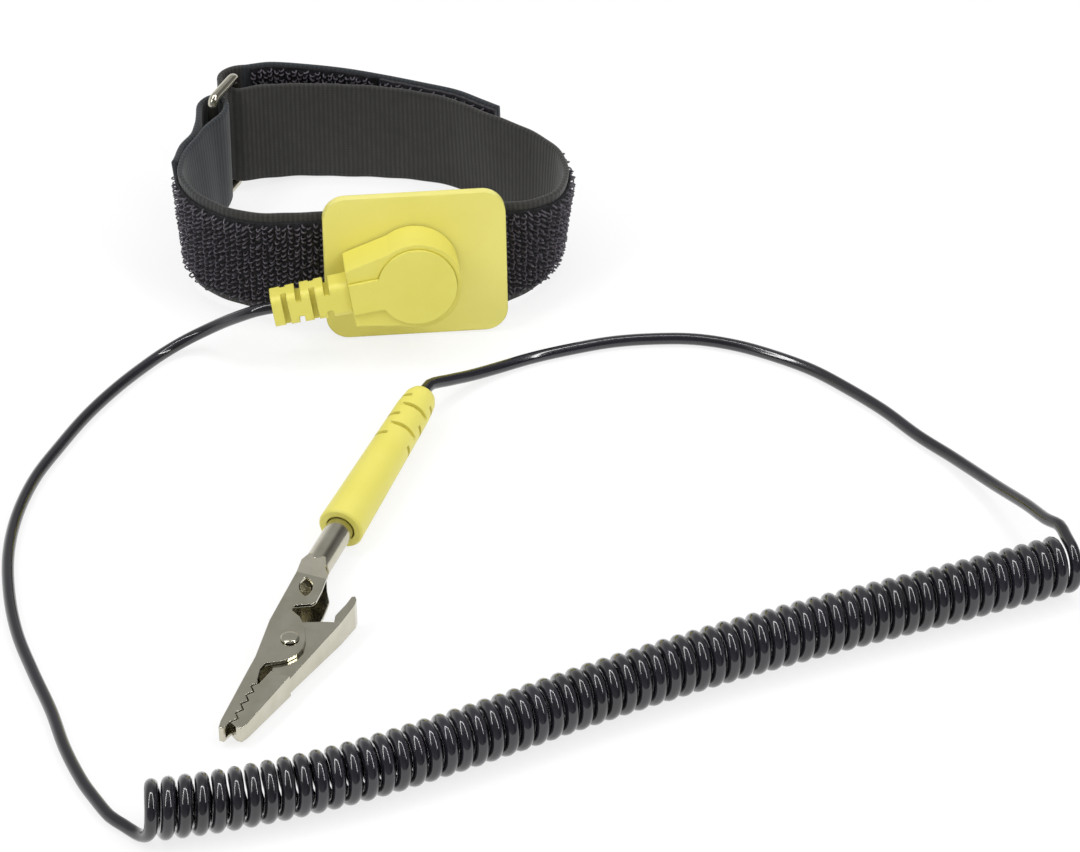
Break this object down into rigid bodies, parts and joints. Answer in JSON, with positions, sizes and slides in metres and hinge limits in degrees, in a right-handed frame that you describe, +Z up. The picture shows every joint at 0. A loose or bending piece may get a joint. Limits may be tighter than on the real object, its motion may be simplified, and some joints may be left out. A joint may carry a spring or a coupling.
{
  "type": "esd wrist strap",
  "caption": "Elastic wrist strap with a ring buckle and a snap stud plate, a swivel connector, a coiled ground cord, a moulded banana plug and a slide-on crocodile clip.",
  "frame": {"origin": "middle of the wrist strap's base, without the cord and the plug", "axes": "+X to the right of the strap with its plate in front, +Y away from the plate's side, +Z up"},
  "size_m": [0.1851, 0.1954, 0.0271],
  "materials": {
    "elastic": "ribbed woven elastic, matt",
    "pile": "brushed loop pile, matt",
    "hooks": "woven nylon hook tape",
    "thread": "polyester thread",
    "nickel_wire": "nickel plated steel wire",
    "yellow_plate": "moulded plastic, faint gloss",
    "yellow_moulding": "soft moulded plastic, satin",
    "stainless": "brushed stainless steel",
    "nickel_brass": "nickel plated brass",
    "brass": "turned brass",
    "spring_steel": "drawn spring steel",
    "resistor_lacquer": "lacquer",
    "tinned_wire": "tinned copper wire",
    "cord_jacket": "smooth polyurethane jacket",
    "nickel_sheet": "nickel plated sheet steel"
  },
  "bodies": {
    "cord": {"connector_body": "yellow_moulding", "connector_cap": "yellow_moulding", "snap_socket": "brass", "resistor": "resistor_lacquer", "resistor_leads": "tinned_wire", "strain_relief": "yellow_moulding", "strap_lead": "cord_jacket", "coil": "cord_jacket", "clip_lead": "cord_jacket", "boot": "yellow_moulding", "plug_body": "nickel_brass"},
    "snap_ring": {"snap_ring": "spring_steel"},
    "wristband": {"band_elastic": "elastic", "loop_pile": "pile", "fold_stitching": "thread", "ring_buckle": "nickel_wire", "stud_plate": "yellow_plate", "wrist_contact": "stainless", "snap_stud": "nickel_brass", "stud_rivet": "stainless"},
    "tail": {"strap_tail": "elastic", "tail_pile": "pile", "hook_pad": "hooks"},
    "plug_spring": {"plug_spring": "nickel_brass"},
    "clip": {"clip_jaw_fixed": "nickel_sheet", "clip_rivet": "nickel_sheet", "clip_spring": "spring_steel"},
    "lever": {"clip_jaw_lever": "nickel_sheet"}
  },
  "joints": [
    {"name": "snap_swivel", "type": "hinge", "parent": "cord", "child": "snap_ring", "pos_m": [0.00784, -0.02059, 0.01381], "axis": [0.0938, -0.9736, 0.2079], "continuous": true},
    {"name": "snap_pull", "type": "slide", "parent": "snap_ring", "child": "wristband", "axis": [-0.0938, 0.9736, -0.2079], "range_m": [0, 0.012]},
    {"name": "tail_peel", "type": "hinge", "parent": "wristband", "child": "tail", "pos_m": [-0.02542, 0.03154, 0.012], "axis": [0, 0, 1], "range_deg": [0, 90]},
    {"name": "leaf_spin", "type": "hinge", "parent": "cord", "child": "plug_spring", "pos_m": [-0.00372, -0.08441, 0.00412], "axis": [-0.3501, -0.9364, -0.0262], "continuous": true},
    {"name": "clip_pull", "type": "slide", "parent": "cord", "child": "clip", "axis": [-0.3501, -0.9364, -0.0262], "range_m": [0, 0.0105]},
    {"name": "lever_hinge", "type": "hinge", "parent": "clip", "child": "lever", "pos_m": [-0.0111, -0.11558, 0.00329], "axis": [-0.0092, -0.0245, 0.9997], "range_deg": [0, 22], "stiffness_Nm_per_rad": 0.06, "springref_deg": -45.84, "deforming": ["clip_spring"]}
  ]
}
